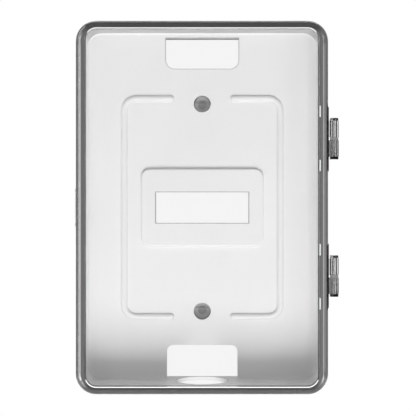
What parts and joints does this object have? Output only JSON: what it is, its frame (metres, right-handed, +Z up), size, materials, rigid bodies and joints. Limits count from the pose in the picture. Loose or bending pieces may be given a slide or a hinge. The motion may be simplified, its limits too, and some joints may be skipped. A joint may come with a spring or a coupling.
{
  "type": "weatherproof sensor enclosure",
  "caption": "Wall-mounted weatherproof enclosure for a sensor: white back box with mounting plate and conduit entry, and a clear side-hinged cover.",
  "frame": {"origin": "centre of the wall face, midway between the two screw holes", "axes": "+X to the right seen from the front, +Y into the wall, +Z up; the cover faces -Y"},
  "size_m": [0.1024, 0.033, 0.1428],
  "materials": {
    "box_white": "moulded white plastic, satin",
    "cover_clear": "clear polycarbonate, polished",
    "hinge_clear": "clear polycarbonate, polished",
    "seal_grey": "soft grey rubber",
    "foam_grey": "closed-cell foam",
    "screw_seal_grey": "pale grey rubber",
    "pin_steel": "plain stainless steel",
    "washer_white": "natural nylon"
  },
  "bodies": {
    "box": {"back_box": "box_white", "wall_seal": "foam_grey", "upper_hinge_leaf": "hinge_clear", "lower_hinge_leaf": "hinge_clear", "upper_hinge_pin": "pin_steel", "lower_hinge_pin": "pin_steel", "upper_hinge_washer": "washer_white", "lower_hinge_washer": "washer_white", "upper_pin_clip": "pin_steel", "lower_pin_clip": "pin_steel", "upper_screw_seal": "screw_seal_grey", "lower_screw_seal": "screw_seal_grey"},
    "cover": {"clear_cover": "cover_clear", "cover_seal": "seal_grey"}
  },
  "joints": [
    {"name": "cover_hinge", "type": "hinge", "parent": "box", "child": "cover", "pos_m": [0.05125, -0.025, 0], "axis": [0, 0, 1], "range_deg": [0, 170]}
  ]
}
